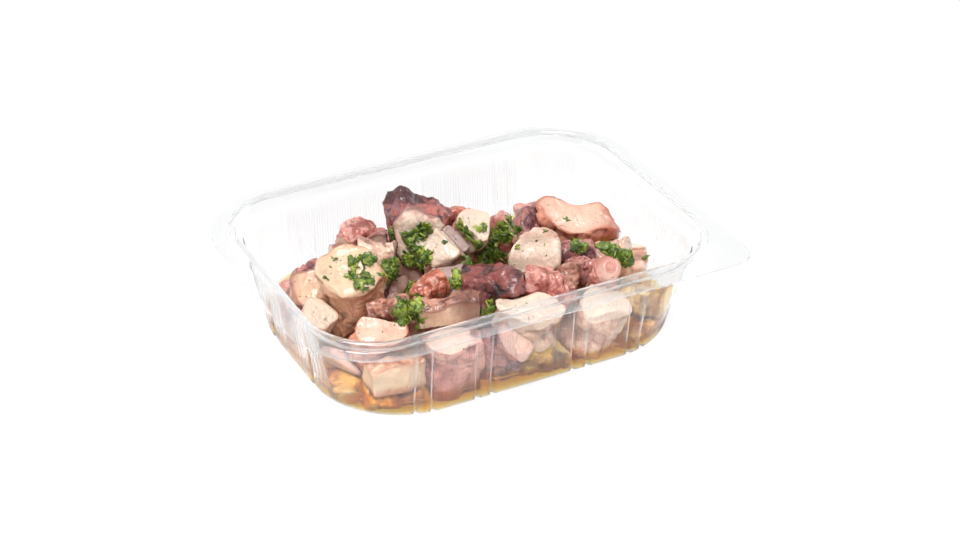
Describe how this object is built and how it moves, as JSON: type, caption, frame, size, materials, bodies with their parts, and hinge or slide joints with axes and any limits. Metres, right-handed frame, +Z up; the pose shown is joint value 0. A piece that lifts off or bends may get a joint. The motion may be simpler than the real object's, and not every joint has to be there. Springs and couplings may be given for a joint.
{
  "type": "cooked octopus in a clear tub",
  "caption": "Cooked octopus cut in chunks, dressed with oil and chopped parsley, in an open clear rectangular tub with a raised rim and flange.",
  "frame": {"origin": "centre of the tub's base, on the surface it stands on", "axes": "+X along the tub's long side, +Y along its short side towards the back wall, +Z up; the flange's square ear is at +X, -Y"},
  "size_m": [0.1984, 0.1488, 0.058],
  "materials": {
    "tub": "clear thin PET sheet, glossy",
    "oil": "golden olive oil, glossy",
    "flesh_beige": "wet cooked flesh, beige skin",
    "flesh_red": "wet cooked flesh, red-brown skin",
    "flesh_purple": "wet cooked flesh, purple skin on cream flesh",
    "flesh_peach": "wet cooked flesh, peach skin",
    "flesh_white": "wet cooked flesh, mostly cream",
    "flesh_grey": "wet cooked flesh, translucent grey",
    "flesh_pink": "wet cooked flesh, pink skin",
    "flesh_brown": "wet cooked flesh, pink-brown skin",
    "flesh_dark": "wet cooked flesh, dark purple-red skin",
    "flesh_mauve": "wet cooked flesh, mauve skin",
    "flesh_amber": "wet cooked flesh, soaked golden by the oil"
  },
  "bodies": {
    "root": {"tub": "tub", "oil_1": "oil", "oil_2": "oil", "oil_3": "oil", "octopus_chunkLeft": "flesh_beige", "octopus_bumpyBack": "flesh_red", "octopus_peak": "flesh_purple", "octopus_peakRight": "flesh_peach", "octopus_whiteSpeck": "flesh_white", "octopus_greySlice": "flesh_grey", "octopus_paleChunk": "flesh_white", "octopus_pinkChunk": "flesh_pink", "octopus_purpleWhite": "flesh_mauve", "octopus_bigSlab": "flesh_peach", "octopus_creamChunk": "flesh_white", "octopus_darkSkin": "flesh_dark", "octopus_pinkFold": "flesh_pink", "octopus_amberPiece": "flesh_brown", "octopus_mauveBumpy": "flesh_mauve", "octopus_suckerRing": "flesh_pink", "octopus_smallRight": "flesh_white", "octopus_redTip": "flesh_peach", "octopus_beigeEdge": "flesh_brown", "octopus_mauveWhite": "flesh_brown", "octopus_whiteDome": "flesh_white", "octopus_smallWhite": "flesh_white", "octopus_blueWhite": "flesh_grey", "octopus_mauveArm": "flesh_mauve", "octopus_smallMauve": "flesh_mauve", "octopus_darkKnob": "flesh_purple", "octopus_beigeOrange": "flesh_brown", "octopus_whiteLeft": "flesh_white", "octopus_domeLeft": "flesh_peach", "octopus_slabFront": "flesh_beige", "octopus_pinkFront": "flesh_pink", "octopus_mauveFront": "flesh_mauve", "octopus_yellowFront": "flesh_amber", "octopus_whiteFront": "flesh_white", "octopus_brownLeft": "flesh_brown", "octopus_lowLeft": "flesh_mauve", "octopus_innerA": "flesh_pink", "octopus_innerB": "flesh_mauve", "octopus_innerC": "flesh_purple", "octopus_lowRight": "flesh_pink", "octopus_innerD": "flesh_mauve", "octopus_innerE": "flesh_pink", "octopus_innerF": "flesh_brown", "octopus_lowBack": "flesh_mauve", "octopus_backA": "flesh_pink", "octopus_backB": "flesh_purple", "octopus_backC": "flesh_beige", "octopus_backD": "flesh_mauve", "octopus_backE": "flesh_pink", "octopus_lowCorner": "flesh_amber", "octopus_tanCorner": "flesh_amber", "octopus_whiteRight": "flesh_white", "octopus_lowEnd": "flesh_amber", "octopus_lowTan": "flesh_amber"}
  },
  "joints": []
}
